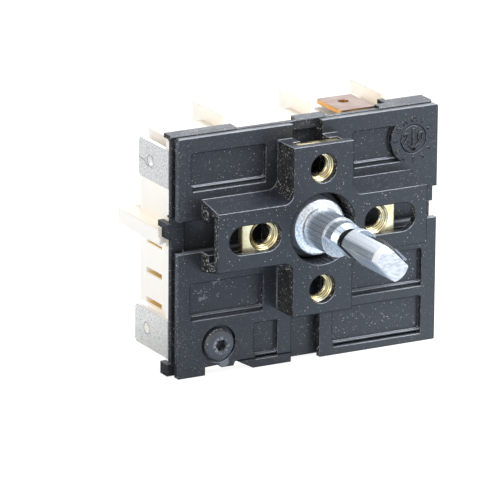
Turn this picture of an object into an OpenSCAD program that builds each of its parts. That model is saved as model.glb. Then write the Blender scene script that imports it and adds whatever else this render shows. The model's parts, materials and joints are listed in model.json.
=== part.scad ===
// Infinite switch (energy regulator) for a cooker hob, in millimetres.
// X runs to the right, Y runs back from the panel, Z runs up.
// The origin is on the shaft axis, in the front face of the cross that meets the panel.
// Every depth named "face", "front" or "back" is counted from that face.

/* [Mounting plate] */
// Plate edge left of the shaft
plate_left = 23.3; // [22.6:0.1:25]
// Plate edge right of the shaft
plate_right = 24; // [22.9:0.1:25]
// Plate edge above the shaft
plate_top = 16.3; // [15.6:0.1:18]
// Plate edge below the shaft
plate_bottom = 23.35; // [22.8:0.05:25]
// How far the plate's face lies behind the cross
plate_face = 5.4; // [4.8:0.1:7]
// Thickness of the plate at its border
plate_t = 1.1; // [0.8:0.1:1.3]
// Thickness of the plate inside its border
core_t = 1.8; // [1.6:0.1:1.9]
// Width of the thin border
border_w = 1.7; // [1:0.1:2.5]
// Radius of the plate's upper corners
corner_r = 0.4; // [0.3:0.1:1]
// Radius of the plate's lower corners
low_corner_r = 0.25; // [0.2:0.05:0.8]

/* [Cross] */
// Half width of the upright arms
arm_half = 5.4; // [4.8:0.1:6]
// Half height of the side arms at the front
side_arm_half = 4.85; // [4.4:0.05:5.6]
// Reach of the upper arm
arm_up = 14; // [13.6:0.1:15]
// Reach of the lower arm
arm_down = 14.05; // [13.6:0.05:15]
// Reach of the left arm
arm_left = 19; // [18:0.1:20]
// Reach of the right arm
arm_right = 19.1; // [18:0.1:20]
// How much the side arms widen towards the plate
arm_flare = 1.1; // [0:0.1:1.5]
// Radius in the inner corners of the cross
arm_fillet = 1.7; // [0.5:0.1:2.5]
// Thickness of the wall in front of the nuts
face_t = 1.3; // [1:0.1:2]
// Hole around the shaft
centre_hole_d = 11.9; // [11.6:0.1:12.2]
// Width of the screw holes and slots
screw_hole_d = 4.8; // [4.4:0.1:5.2]
// Distance between opposite screw holes
screw_pitch = 20; // [20:0.1:20.6]
// How far the side slots run outwards
slot_reach = 4.6; // [1:0.1:5]
// Width of the channels that run to the plate's edges
notch_w = 5.3; // [5:0.1:6]

/* [Nuts] */
// Side of the square nuts
nut_w = 7.7; // [6.6:0.1:7.8]
// Thickness of the nuts
nut_t = 1.6; // [1.2:0.1:2.2]
// Core diameter of the thread
thread_d = 3.3; // [3:0.05:3.5]
// Diameter of the chamfer at the thread's mouth
nut_chamfer_d = 4.5; // [4:0.1:5]
// Clearance round each nut
nut_gap = 0.15; // [0.05:0.05:0.2]

/* [Sunk panels] */
// Depth of the sunk panels
panel_depth = 0.8; // [0.3:0.1:1.1]
// Width of the rib at the foot of each panel
rib_w = 0.3; // [0.2:0.05:0.5]
// How far the rib stays below the plate's face
rib_drop = 0.2; // [0.1:0.05:0.4]
// Width of the groove below the rib
groove_w = 0.5; // [0.3:0.05:0.8]
// Depth of the groove below the rib
groove_depth = 1.1; // [0.6:0.1:1.3]
// Radius of the date disc
disc_r = 4.15; // [3:0.05:4.5]
// Diameter of the date disc's insert
insert_d = 4.8; // [3:0.1:6]

/* [Plate screw] */
// Place of the screw left of the shaft
screw_left = 15.85; // [15:0.05:16.5]
// Place of the screw below the shaft
screw_down = 18.45; // [18:0.05:18.6]
// Diameter of the screw's head
screw_head_d = 5.2; // [4.5:0.1:5.6]
// Height of the screw's head
screw_head_t = 1.5; // [1:0.1:2]
// Diameter of the screw's shank
screw_d = 2.5; // [2:0.1:3]
// Length of the screw's shank
screw_len = 9; // [6:0.5:10]
// Diameter of the sinking round the head
sinking_d = 6.1; // [5.8:0.1:6.6]
// Depth of the sinking round the head
sinking_depth = 0.6; // [0.2:0.1:0.9]
// Wall of the post that takes the screw
post_wall = 1.1; // [0.8:0.1:1.3]

/* [Inner cover] */
// Gap between the plate's border and the cover
cover_gap = 0.75; // [0.75:0.05:1.2]
// Thickness of the cover's rim
rim_t = 0.8; // [0.6:0.1:1.2]
// Width of the cover's raised rim at its sides
rim_w = 2.4; // [0.8:0.1:2.4]
// Width of the cover's raised rim at its top and bottom
rim_h = 1.65; // [0.8:0.05:2]
// Depth of the cover inside its rim
rim_step = 0.45; // [0.2:0.05:0.5]
// Thickness of the part of the cover that sits in the base
plug_t = 1; // [0.6:0.1:1.4]
// How far the cover is wider than the plate on the left
cover_over = 0.3; // [0:0.1:0.6]
// How far the cover's top edge lies below the plate's
cover_drop = 0.05; // [0:0.05:0.5]
// Thickness of the cover's edge flanges
flange_t = 0.7; // [0.5:0.1:1]
// Height of the flanges above the cover's edge
flange_rise = 0.3; // [0.2:0.05:0.6]
// Depth of the upper left flange
flange_left_depth = 2.3; // [1:0.1:2.5]
// Depth of the upper right flange
flange_right_depth = 3.4; // [1:0.1:3.5]
// Outer diameter of the bearing in the cover
bearing_outer_d = 11.2; // [10.8:0.1:11.4]
// How far the bearing reaches forwards of the cover
bearing_reach = 4.05; // [3:0.05:5]

/* [Base] */
// Left wall of the base
base_left = 22.6; // [22:0.1:22.8]
// Right wall of the base
base_right = 22.7; // [22:0.1:22.9]
// Top of the base
base_top = 14.6; // [14.2:0.1:14.8]
// Bottom of the base
base_bottom = 21.6; // [21.4:0.1:22]
// Depth of the base behind the cover
base_depth = 11.45; // [11.2:0.05:13]
// Thickness of the side walls
wall = 1.6; // [1.2:0.1:1.7]
// Thickness of the back wall
back_wall = 1.5; // [1:0.1:1.6]
// Width of the flange round the base's mouth
lip_w = 0.6; // [0.2:0.1:0.7]
// Thickness of the flange round the base's mouth
lip_t = 1.7; // [0.9:0.1:2]
// How deep the walls step in beside the side tabs
tab_recess = 1.4; // [1:0.1:1.6]
// Thickness of the upright barriers
fin_t = 0.9; // [0.8:0.1:1.5]
// Height of the barriers above the base
fin_h = 2.35; // [1:0.05:3]
// Start of the barriers behind the cover
fin_front = 4.9; // [2:0.1:6]
// How far the barriers run behind the base
fin_back = 3.6; // [1:0.1:6]
// Thickness of the level barrier on the left and right
shelf_t = 2.45; // [1:0.05:3]
// How far the level barrier stands out of the side wall
shelf_out = 2.2; // [1:0.1:3]
// Height of the vent slots
vent_h = 0.9; // [0.5:0.1:1.2]
// Height of the narrow vent slot under the level barrier
vent_top_h = 0.5; // [0.3:0.1:0.9]
// Distance between the vent slots
vent_pitch = 5; // [4.6:0.1:5.2]

/* [Tabs] */
// Width of the push-on tabs
tab_w = 6.3; // [6.3:0.1:6.4]
// Thickness of the push-on tabs
tab_t = 0.8; // [0.6:0.1:0.8]
// Diameter of the hole in the tabs
tab_hole_d = 1.8; // [1:0.1:2]
// Distance of the hole from the tab's end
tab_hole_back = 4; // [3:0.1:5]
// Gap between a side tab and the wall of the base
tab_clear = 0.2; // [0.1:0.05:0.4]
// Length of the upper left and upper right tab
tab_len = 10; // [8:0.1:11]
// Length of the lower left and lower right tab
low_tab_len = 11.1; // [8:0.1:12]
// Length of the upper tab
top_tab_len = 8.1; // [7:0.05:11]
// Height of the upper tab above the base
top_tab_rise = 0.8; // [0.5:0.1:1.2]
// Centre of the upper tab right of the shaft
top_tab_x = 11.4; // [11.2:0.1:11.7]
// Distance of the hole from the upper tab's end
top_hole_back = 3.2; // [3:0.1:5]
// Chamfer on the side tabs' ends
tab_chamfer = 0.5; // [0:0.1:1]
// Chamfer on the upper tab's end
top_chamfer = 0.2; // [0:0.1:1]

/* [Shaft] */
// Diameter of the collar that turns in the cover
collar_d = 9.4; // [9:0.1:9.6]
// How far the collar's face lies behind the cross
collar_face = 1; // [0.4:0.1:1.3]
// Running clearance of the bearings, on the radius
run_gap = 0.05; // [0.02:0.01:0.08]
// Diameter of the round part next to the collar
stem_d = 6.5; // [6:0.1:7]
// Length of the round part in front of the cross
stem_len = 5.3; // [4:0.1:7]
// Diameter of the part that takes the knob
knob_d = 6.06; // [5.8:0.02:6.2]
// Whole reach of the shaft in front of the cross
shaft_len = 22; // [18:0.1:26]
// Distance of the flats from the shaft axis
flat_r = 1.65; // [1.5:0.05:2]
// Turn of the flats, measured from straight down
flat_turn = 45; // [0:5:90]
// Diameter of the neck behind the knob part
neck_d = 4.6; // [4.2:0.1:5]
// Start of the neck in front of the cross
neck_start = 8.5; // [8:0.1:9]
// End of the neck in front of the cross
neck_end = 11; // [10:0.1:12]
// Length of the slope at the tip
tip_slope = 1.4; // [0.5:0.1:3]
// How much the tip narrows, on the radius
tip_draw = 0.18; // [0.1:0.02:0.5]
// Height of the slope's end above the shaft axis
tip_top = 2.15; // [1.8:0.05:2.6]
// Thickness of the grip spring
grip_t = 0.3; // [0.25:0.05:0.4]
// Width of the grip spring
grip_w = 2.8; // [2:0.1:3]
// Height of the grip spring's bow
grip_bow = 0.62; // [0.3:0.01:0.8]
// How far the grip spring's end stands off the flat
grip_lift = 0.25; // [0:0.05:0.4]
// Side of the square that drives the cam
drive_w = 5; // [4:0.1:6]
// Diameter of the rear journal
rear_d = 3; // [2.6:0.1:3.4]

/* [Cam and levers] */
// Largest radius of the cam
cam_r = 7; // [6.4:0.1:7.1]
// Depth of the cam's notches
cam_notch = 1; // [0.4:0.1:1.3]
// Thickness of the cam
cam_t = 5; // [4:0.1:5.2]
// Rise of the spiral track
power_rise = 1.4; // [1.2:0.1:1.6]
// Clearance between the cam's largest radius and what rides on it
cam_gap = 0.1; // [0.05:0.05:0.3]
// Thickness of the contact blades
blade_t = 0.3; // [0.2:0.05:0.4]
// Width of the contact blades
blade_w = 3.6; // [3:0.1:4]
// Diameter of the contacts
contact_d = 3; // [2:0.1:3.2]
// Thickness of each contact
contact_t = 0.6; // [0.4:0.1:0.7]
// Thickness of the follower lever
lever_t = 1.2; // [0.8:0.1:1.4]
// Diameter of the lever's pin
pin_d = 2; // [1.6:0.1:2.4]
// Thickness of the bimetal strip
bimetal_t = 0.6; // [0.4:0.1:0.8]
// Length of the bimetal strip
bimetal_len = 25.4; // [22:0.1:25.6]
// Diameter of the push pin under the bimetal
push_d = 1.6; // [1.2:0.1:2]
// Diameter of the contacts' rivet shanks
rivet_d = 1.6; // [1.2:0.1:2]
// Diameter of the calibration screw
cal_d = 2; // [1.6:0.1:2.4]

/* [Hidden] */
$fn = 48;

eps = 0.02;
hair = 0.05;

// Depths, front to back
plate_back = plate_face + plate_t;
core_back = plate_face + core_t;
rim_front = plate_back + cover_gap;
rim_back = rim_front + rim_t;
floor_front = rim_front + rim_step;
plug_back = rim_back + plug_t;
base_back = rim_back + base_depth;
cavity_back = base_back - back_wall;
nut_back = face_t + nut_gap + nut_t;

// Notch beside the plate's foot, in the plate and the cover
foot_notch = [-18.3, -9.6];

// Cover outline
cover_left = plate_left + cover_over;
cover_right = plate_right - cover_over;
cover_top = plate_top - cover_drop;
cover_bottom = plate_bottom - 0.15;
plug_gap = 0.15;
hook_out = 0.6;
hook_stem = 2;
hook_low = -0.4;

// Base
shelf_front = rim_back + 0.85;
in_left = base_left - wall;
in_right = base_right - wall;
in_top = base_top - wall;
in_bottom = base_bottom - wall;

// Side tabs and the legs that carry them into the base
tab_left = base_left + tab_clear + tab_t;
tab_right = base_right + tab_clear + tab_t;
tab_front = rim_back + 0.25;
leg_front = plug_back + 0.15;
leg_back = leg_front + tab_t;
leg_gap = 0.1;
left_top_leg = [8.9, 11.9];
left_bottom_leg = [-16, -14.4];
right_bottom_leg = [-16.6, -14.4];
high_tab_z = 7.5;
low_tab_z = -20.6;
foot_back = leg_back + 5.2;

// Vent slots in the side walls
vent_y = [rim_back + 4.1, cavity_back - 0.6];
vent_z = -3.7;

// Contact blades stand in the middle of the cavity's depth
blade_front = leg_back + 1;
blade_back = blade_front + blade_w;
blade_mid = (blade_front + blade_back) / 2;

// Cam on the shaft
washer_front = plug_back + 0.05;
washer_d = 2 * cam_r - 1;
washer_t = 0.5;
cam_front = washer_front + washer_t + 0.1;
cam_back = cam_front + cam_t + 0.9;
track_front = cam_back - cam_t;
track_w = cam_t / 2 - 0.1;
power_front = cam_back - track_w;
clip_t = 0.5;
rear_end = cavity_back + 0.6;

// Detent spring beside the cam, between two posts of the base
detent_x = -8.5;
detent_t = 0.3;
detent_half = 5.2;
detent_vee = 1.2;
detent_post = 1.4;

// Upper contact blade, above the cam
upper_foot_top = cam_r + cam_gap + 2.4;
upper_blade_top = upper_foot_top + blade_t;
upper_clamp = -15;
upper_root = -in_left + tab_recess + 0.2;
upper_end = 6.2;
upper_contact_x = 4.6;
upper_rail_z = upper_blade_top + 2 * contact_t;
upper_rail_end = 2.8;
upper_slot = [upper_clamp + 3, -3];

// Side contact blade, right of the cam
side_x = cam_r + cam_gap + 2;
side_out = side_x + blade_t;
side_clamp = 6.5;
side_top = 9.9;
right_top_leg = [7.8, side_top];
side_end = -6.9;
side_contact_z = -5.2;
side_slot = [1.6, 5.6];
side_rail_x = side_out + 2 * contact_t;

// Snap blade, below the bimetal strip
snap_z = -17.9;
snap_under = snap_z - blade_t;
snap_clamp = 14;
snap_end = -6.4;
snap_root = in_right - tab_recess - 0.8;
snap_contact_x = -4.8;
snap_rail_under = snap_z + 2 * contact_t;
snap_rail_end = -2.4;
snap_riser = [-9, -7];
snap_slot = [-1.6, 7.5];
snap_spring_x = 1.2;
snap_spring_r = 1.8;
snap_spring_t = 0.3;

// Follower lever and bimetal strip
pivot = [-17.6, -9.6];
lever_front = power_front + 0.3;
lever_back = lever_front + lever_t;
nose_r = 1.2;
nose_z = -cam_r - cam_gap - nose_r;
lever_low = -10.9;
bimetal_top = -12.1;
bimetal_under = bimetal_top - bimetal_t;
lever_foot_under = bimetal_under - 0.8;
bimetal_left = -15;
lever_foot_end = -11;
push_x = bimetal_left + bimetal_len - 1.4;
cal_x = push_x - 2.8;
lever_end = cal_x + 1.8;
push_end = snap_z + 0.9;

// Straight box between two corners
module block(x, y, z) {
    translate([x[0], y[0], z[0]]) cube([x[1] - x[0], y[1] - y[0], z[1] - z[0]]);
}

// Outline drawn in X and Z, as thick as from y[0] to y[1]
module slab(y) {
    translate([0, y[1], 0]) rotate([90, 0, 0]) linear_extrude(y[1] - y[0]) children();
}

// Round bar or hole along Y
module bar_y(at, y, d) {
    translate([at[0], y[0], at[1]]) rotate([-90, 0, 0]) cylinder(d = d, h = y[1] - y[0]);
}

// Round bar or hole along Z
module bar_z(at, z, d) {
    translate([at[0], at[1], z[0]]) cylinder(d = d, h = z[1] - z[0]);
}

// Round bar or hole along X
module bar_x(at, x, d) {
    translate([x[0], at[0], at[1]]) rotate([0, 90, 0]) cylinder(d = d, h = x[1] - x[0]);
}

// Rectangle with round corners
module soft_rect(x, z, r) {
    translate([x[0] + r, z[0]]) square([x[1] - x[0] - 2 * r, z[1] - z[0]]);
    translate([x[0], z[0] + r]) square([x[1] - x[0], z[1] - z[0] - 2 * r]);
    for (cx = [x[0] + r, x[1] - r], cz = [z[0] + r, z[1] - r]) translate([cx, cz]) circle(r);
}

// Flat tab with two chamfered corners and a hole, drawn lying along +X from the origin
module tab_outline(len, hole_back, cut) {
    difference() {
        polygon([[0, 0], [len - cut, 0], [len, cut], [len, tab_w - cut], [len - cut, tab_w], [0, tab_w]]);
        translate([len - hole_back, tab_w / 2]) circle(d = tab_hole_d);
    }
}

// Solid of a side tab: its length runs along +Y, its width along +Z
module side_tab(x, z, len) {
    translate([x, tab_front, z]) rotate([90, 0, 90]) linear_extrude(tab_t)
        tab_outline(len, tab_hole_back, tab_chamfer);
}

// Side arms of the cross with the round inner corners, in X and Z
module side_arms_outline() {
    translate([-arm_left, -side_arm_half]) square([arm_left + arm_right, 2 * side_arm_half]);
    for (sx = [-1, 1], sz = [-1, 1]) scale([sx, sz]) translate([arm_half, side_arm_half])
        difference() {
            translate([-1, -1]) square(arm_fillet + 1);
            translate([arm_fillet, arm_fillet]) circle(arm_fillet);
        }
}

// Side arms that widen evenly from the front to the plate
module side_arms() {
    widened = 1 + arm_flare / side_arm_half;
    translate([0, plate_face, 0]) rotate([90, 0, 0]) linear_extrude(plate_face, scale = [1, 1 / widened])
        scale([1, widened]) side_arms_outline();
    slab([plate_face - eps, plate_back]) scale([1, widened]) side_arms_outline();
}

// Room for one nut and the channel behind it, for an arm that points along +Z
module nut_room(reach, edge, inner) {
    half = nut_w / 2 + nut_gap;
    block([-half, half], [face_t, nut_back + nut_gap], [inner - half, reach + 1]);
    block([-notch_w / 2, notch_w / 2], [face_t, core_back + 1], [inner - notch_w / 2, edge + 1]);
}

// One sunk panel with its rib and groove
module sunk_panel(x, z) {
    slab([plate_face - 1, plate_face + panel_depth]) soft_rect(x, z, 0.5);
    block([x[0] + 0.3, x[1]], [plate_face - 1, plate_face + rib_drop], [z[0] - rib_w, z[0] + 0.3]);
    block([x[0] + 0.3, x[1]], [plate_face - 1, plate_face + groove_depth],
        [z[0] - rib_w - groove_w, z[0] - rib_w]);
}

// Outline of the plate with its foot and the low tab beside it
module plate_outline() {
    low = -plate_bottom;
    difference() {
        union() {
            soft_rect([-plate_left, plate_right], [-plate_bottom + 5, plate_top], corner_r);
            soft_rect([-plate_left, plate_right], [-plate_bottom, plate_top - 5], low_corner_r);
        }
        polygon([[foot_notch[0], low - 1], [foot_notch[0], low + 1.35], [-12.6, low + 1.6],
            [foot_notch[1], low], [foot_notch[1], low - 1]]);
    }
    polygon([[-16.5, low + 1.8], [-15.3, low + 0.92], [-13.15, low + 0.92], [-12.8, low + 1.8]]);
}

module mounting_plate() {
    color([0.16, 0.17, 0.19])
    difference() {
        union() {
            slab([plate_face, plate_back]) plate_outline();
            slab([plate_face + 0.2, core_back]) soft_rect([-plate_left + border_w, plate_right - border_w],
                [-plate_bottom + border_w, plate_top - border_w], corner_r);
            slab([0, plate_back]) translate([-arm_half, -arm_down])
                square([2 * arm_half, arm_down + arm_up]);
            side_arms();
            for (x = [-plate_left + 4, plate_right - 7], z = [-13.5, plate_top - 5])
                block([x, x + 3], [core_back - 0.4, floor_front], [z, z + 3]);
        }
        bar_y([0, 0], [-1, core_back + 1], centre_hole_d);
        for (z = [-1, 1]) bar_y([0, z * screw_pitch / 2], [-1, face_t + 1], screw_hole_d);
        for (x = [-1, 1]) slab([-1, face_t + 0.5]) {
            for (reach = [0, slot_reach]) translate([x * (screw_pitch / 2 + reach), 0])
                circle(d = screw_hole_d);
            translate([x * (screw_pitch / 2 + slot_reach / 2), 0])
                square([slot_reach, screw_hole_d], center = true);
        }
        nut_room(arm_up, plate_top, screw_pitch / 2);
        rotate([0, 180, 0]) nut_room(arm_down, plate_bottom, screw_pitch / 2);
        rotate([0, -90, 0]) nut_room(arm_left, plate_left, screw_pitch / 2);
        rotate([0, 90, 0]) nut_room(arm_right, plate_right, screw_pitch / 2);
        sunk_panel([-21, -7.6], [8.2, 13.7]);
        sunk_panel([-21.1, -7.9], [-13.2, -7.8]);
        sunk_panel([-9.5, -5.1], [-21.2, -15.9]);
        difference() {
            sunk_panel([8.3, 18.9], [8.3, 13.6]);
            bar_y([19.5, 11], [plate_face - 2, core_back + 1], 2 * disc_r);
        }
        sunk_panel([5.8, 21.4], [-13.2, -7.6]);
        sunk_panel([4.9, 21.4], [-21.3, -15.6]);
        difference() {
            bar_y([19.5, 11], [plate_face - 1, plate_face + 0.2], insert_d);
            bar_y([19.5, 11], [plate_face - 2, plate_face + 1], insert_d - 0.3);
        }
        bar_y([-screw_left, -screw_down], [plate_face - 1, plate_face + sinking_depth], sinking_d);
        bar_y([-screw_left, -screw_down], [plate_face - 1, core_back + 1], screw_d + 0.6);
    }
}

// Flange on the cover's upper edge, with a sloping front
module top_flange(x, depth, rise) {
    y = [rim_front, rim_front + rise, rim_back, rim_front + depth];
    z = [cover_top - 0.6, cover_top, cover_top + rise - flange_t, cover_top + rise];
    translate([x[0], 0, 0]) rotate([90, 0, 90]) linear_extrude(x[1] - x[0]) polygon([
        [y[0], z[0]], [y[0], z[1]], [y[1], z[3]], [y[3], z[3]], [y[3], z[2]], [y[2], z[2]], [y[2], z[0]]]);
}

// Hooks on one edge of the cover that hold the base, drawn on the left
module edge_hook(edge, lip) {
    x = [-edge - hook_out, -lip];
    block(x, [rim_front, rim_front + 3.3], [1.1, 2.05]);
    block([x[0], -edge + 0.1], [rim_front, rim_front + hook_stem], [hook_low, 1.2]);
    block(x, [rim_front, rim_front + 2.3], [-cover_bottom, -21.2]);
}

module inner_cover() {
    color([0.1, 0.1, 0.11])
    difference() {
        union() {
            difference() {
                slab([rim_front, rim_back]) soft_rect([-cover_left, cover_right],
                    [-cover_bottom, cover_top], 0.4);
                difference() {
                    block([-cover_left + rim_w, cover_right - rim_w], [rim_front - 1, floor_front],
                        [-cover_bottom + rim_h, cover_top - rim_h]);
                    block([-4.4, 4.4], [rim_front - 2, rim_back], [-cover_bottom, -arm_down - 0.6]);
                }
            }
            block([-in_left + tab_recess + plug_gap, in_right - tab_recess - plug_gap],
                [rim_back - 0.2, plug_back], [-in_bottom + plug_gap, in_top - plug_gap]);
            bar_y([0, 0], [floor_front - bearing_reach, rim_back], bearing_outer_d);
            top_flange([-cover_left - 0.15, -11.9], flange_left_depth, flange_rise);
            top_flange([-1.2, 4.2], 1.6, flange_rise + 0.15);
            top_flange([14.2, 16.4], 1.7, flange_rise);
            top_flange([16.2, cover_right + 0.15], flange_right_depth, flange_rise);
            top_flange([16.2, 17.2], flange_right_depth + 0.9, flange_rise);
            edge_hook(cover_left, base_left + lip_w);
            block([-cover_left - 0.25, -cover_left + 0.2], [rim_front, rim_back], [3.1, 3.4]);
            mirror([1, 0, 0]) edge_hook(cover_right, base_right + lip_w);
        }
        bar_y([0, 0], [0, base_back], collar_d + 2 * run_gap);
        bar_y([-screw_left, -screw_down], [rim_front - 1, plug_back + 1], screw_d + 0.6);
        block(foot_notch, [rim_front - 1, rim_back], [-cover_bottom - 1, -plate_bottom + 1.15]);
    }
}

// Square nut with its thread and the chamfer at the mouth
module square_nut(x, z) {
    color([0.83, 0.68, 0.32])
    difference() {
        slab([face_t + nut_gap, nut_back]) translate([x, z])
            soft_rect([-nut_w / 2, nut_w / 2], [-nut_w / 2, nut_w / 2], 0.3);
        bar_y([x, z], [0, nut_back + 1], thread_d);
        translate([x, face_t + nut_gap - eps, z]) rotate([-90, 0, 0])
            cylinder(d1 = nut_chamfer_d, d2 = thread_d - 0.2, h = 0.6);
    }
}

module nut_top() { square_nut(0, screw_pitch / 2); }
module nut_bottom() { square_nut(0, -screw_pitch / 2); }
module nut_left() { square_nut(-screw_pitch / 2, 0); }
module nut_right() { square_nut(screw_pitch / 2, 0); }

module plate_screw() {
    seat = plate_face + sinking_depth;
    color([0.2, 0.2, 0.21])
    translate([-screw_left, seat - screw_head_t, -screw_down])
    difference() {
        rotate([-90, 0, 0]) union() {
            rotate_extrude() polygon([[0, 0], [screw_head_d * 0.3, 0], [screw_head_d * 0.44, 0.3],
                [screw_head_d / 2, 0.8], [screw_head_d / 2, screw_head_t], [0, screw_head_t]]);
            cylinder(d = screw_d, h = screw_head_t + screw_len);
        }
        for (a = [0:60:300]) rotate([0, a, 0]) translate([0.75, -1, 0]) rotate([-90, 0, 0])
            cylinder(d = 0.55, h = 2, $fn = 24);
        translate([0, -1, 0]) rotate([-90, 0, 0]) cylinder(d = 1.5, h = 2, $fn = 24);
    }
}

// Opening in a wall for the leg of a side tab
module leg_slot(x, z) {
    block(x, [leg_front - leg_gap, leg_back + leg_gap], [z[0] - leg_gap, z[1] + leg_gap]);
}

// Upright barrier on top of the base, with its tail behind the base
module top_fin(x) {
    block([x, x + fin_t], [rim_back + fin_front, base_back + fin_back],
        [base_top - 1, base_top + fin_h]);
    block([x, x + fin_t], [base_back - 0.5, base_back + fin_back], [4, base_top + fin_h]);
}

// Barrier under the base, down to the level of the plate's edge
module low_fin(x) {
    block([x, x + fin_t], [rim_back + fin_front, base_back + fin_back],
        [-plate_bottom, -base_bottom + 1]);
    block([x, x + fin_t], [base_back - 0.5, base_back + fin_back], [-plate_bottom, -10]);
}

// Level barrier on one side of the base
module side_shelf(x) {
    block(x, [shelf_front, base_back + fin_back], [-shelf_t + 0.8, 0.8]);
}

module base() {
    recess_in = base_left - tab_recess;
    recess_in_right = base_right - tab_recess;
    color([0.93, 0.89, 0.8])
    difference() {
        union() {
            difference() {
                union() {
                    block([-base_left, base_right], [rim_back, base_back], [-base_bottom, base_top]);
                    block([-base_left - lip_w, base_right + lip_w], [rim_back, rim_back + lip_t],
                        [-base_bottom - lip_w, base_top + lip_w]);
                }
                block([-in_left, in_right], [rim_back - 1, cavity_back], [-in_bottom, in_top]);
            }
            for (z = [[6.2, in_top + 0.5], [-in_bottom - 0.5, -13.2]]) {
                block([-in_left - 0.5, -in_left + tab_recess], [plug_back + 0.05, cavity_back + 0.5], z);
                block([in_right - tab_recess, in_right + 0.5], [plug_back + 0.05, cavity_back + 0.5], z);
            }
            for (x = [-11.4, 4.5, 17.7]) {
                top_fin(x);
                low_fin(x);
            }
            side_shelf([-base_left - shelf_out, -base_left + 0.5]);
            side_shelf([base_right - 0.5, base_right + shelf_out]);
            block([-base_left - shelf_out, base_right + shelf_out],
                [base_back - 0.5, base_back + fin_back], [-shelf_t + 0.8, 0.8]);
            bar_y([-screw_left, -screw_down], [plug_back + 0.1, cavity_back + 0.5],
                screw_d + 2 * post_wall);
            bar_y(pivot, [lever_back + 0.3, cavity_back + 0.5], pin_d + 2.4);
            bar_y([0, 0], [cam_back + clip_t + 0.4, cavity_back + 0.5], rear_d + 3);
            for (z = [-detent_half, detent_half - detent_post])
                block([detent_x - 1.9, detent_x], [track_front, cavity_back + 0.5], [z, z + detent_post]);
        }
        for (z = [[high_tab_z - 0.6, base_top + 2], [-base_bottom - 2, low_tab_z + tab_w + 0.5]]) {
            block([-base_left - 3, -recess_in], [rim_back + lip_t, base_back + 0.01], z);
            block([recess_in_right, base_right + 3], [rim_back + lip_t, base_back + 0.01], z);
        }
        block([-base_left - lip_w - 1, -base_left + 0.6], [rim_back - 1, shelf_front + 0.7], [-2.2, -0.35]);
        for (x = [[-base_left - 3, -cover_left + 0.15], [cover_right - 0.15, base_right + 3]])
            block(x, [shelf_front - 1, rim_front + hook_stem + 0.05], [hook_low - 0.05, 1.25]);
        for (i = [0:2]) {
            z = vent_z - i * vent_pitch;
            high = i == 0 ? vent_top_h : vent_h;
            block([-base_left - 1, -in_left + 0.5], vent_y, [z, z + high]);
            block([in_right - 0.5, base_right + 1], vent_y, [z, z + high]);
        }
        bar_y([0, 0], [rim_back, rear_end + 0.2], rear_d + 2 * run_gap);
        bar_y(pivot, [lever_back - 1, cavity_back - 0.3], pin_d + 2 * hair);
        bar_y([-screw_left, -screw_down], [rim_back, cavity_back + 0.3], screw_d + 0.1);
        leg_slot([-base_left - 2, -in_left + tab_recess + 1], left_top_leg);
        leg_slot([-base_left - 2, -in_left + tab_recess + 1], left_bottom_leg);
        leg_slot([in_right - tab_recess - 1, base_right + 2], right_top_leg);
        leg_slot([in_right - tab_recess - 1, base_right + 2], right_bottom_leg);
        block([top_tab_x - 1.9, top_tab_x + 1.9], [leg_front - leg_gap, leg_back + leg_gap],
            [in_top - 1, base_top + 1]);
        block([-tab_left - 1, -recess_in + eps], [tab_front, leg_back + leg_gap],
            [high_tab_z - 0.1, high_tab_z + tab_w + 0.1]);
        block([-tab_left - 1, -recess_in + eps], [tab_front, leg_back + leg_gap],
            [low_tab_z - 0.1, low_tab_z + tab_w + 0.1]);
        block([recess_in_right - eps, tab_right + 1], [tab_front, leg_back + leg_gap],
            [high_tab_z - 0.1, high_tab_z + tab_w + 0.1]);
        block([recess_in_right - eps, tab_right + 1], [tab_front, leg_back + leg_gap],
            [low_tab_z - 0.1, low_tab_z + tab_w + 0.1]);
    }
}

// Block that cuts a flat along the shaft, on the lower left or on the upper right
module shaft_flat(from, upper) {
    rotate([0, flat_turn, 0])
        block([-8, 8], [-shaft_len - 1, -from], upper ? [flat_r, 8] : [-8, -flat_r]);
}

module shaft() {
    knob_r = knob_d / 2;
    slope_start = shaft_len - tip_slope;
    color([0.78, 0.79, 0.81])
    difference() {
        union() {
            rotate([90, 0, 0]) rotate_extrude() polygon([
                [0, -rear_end], [rear_d / 2, -rear_end], [rear_d / 2, -cam_back - clip_t - 0.1],
                [rear_d / 2 - 0.3, -cam_back - clip_t - 0.1], [rear_d / 2 - 0.3, -cam_back],
                [rear_d / 2, -cam_back], [rear_d / 2, -cam_front], [collar_d / 2, -cam_front],
                [collar_d / 2, -collar_face - 0.5], [collar_d / 2 - 0.15, -collar_face - 0.15],
                [collar_d / 2 - 0.5, -collar_face], [stem_d / 2 + 0.45, -collar_face],
                [stem_d / 2 + 0.15, -collar_face + 0.15], [stem_d / 2, -collar_face + 0.5],
                [stem_d / 2, stem_len], [knob_r - 0.05, stem_len], [knob_r - 0.05, neck_start - 1.1],
                [neck_d / 2, neck_start], [neck_d / 2, neck_end], [knob_r, neck_end],
                [knob_r, slope_start], [0, slope_start]]);
            hull() {
                bar_y([0, 0], [-slope_start - eps, -slope_start], knob_d);
                slab([-shaft_len, -shaft_len + eps]) intersection() {
                    circle(knob_r - tip_draw);
                    translate([-knob_r, -knob_r]) square([2 * knob_r, knob_r + tip_top]);
                }
            }
            block([-drive_w / 2, drive_w / 2], [cam_front - 0.2, cam_back], [-drive_w / 2, drive_w / 2]);
        }
        shaft_flat(stem_len, false);
        shaft_flat(neck_end + 1.2, true);
    }
}

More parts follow.
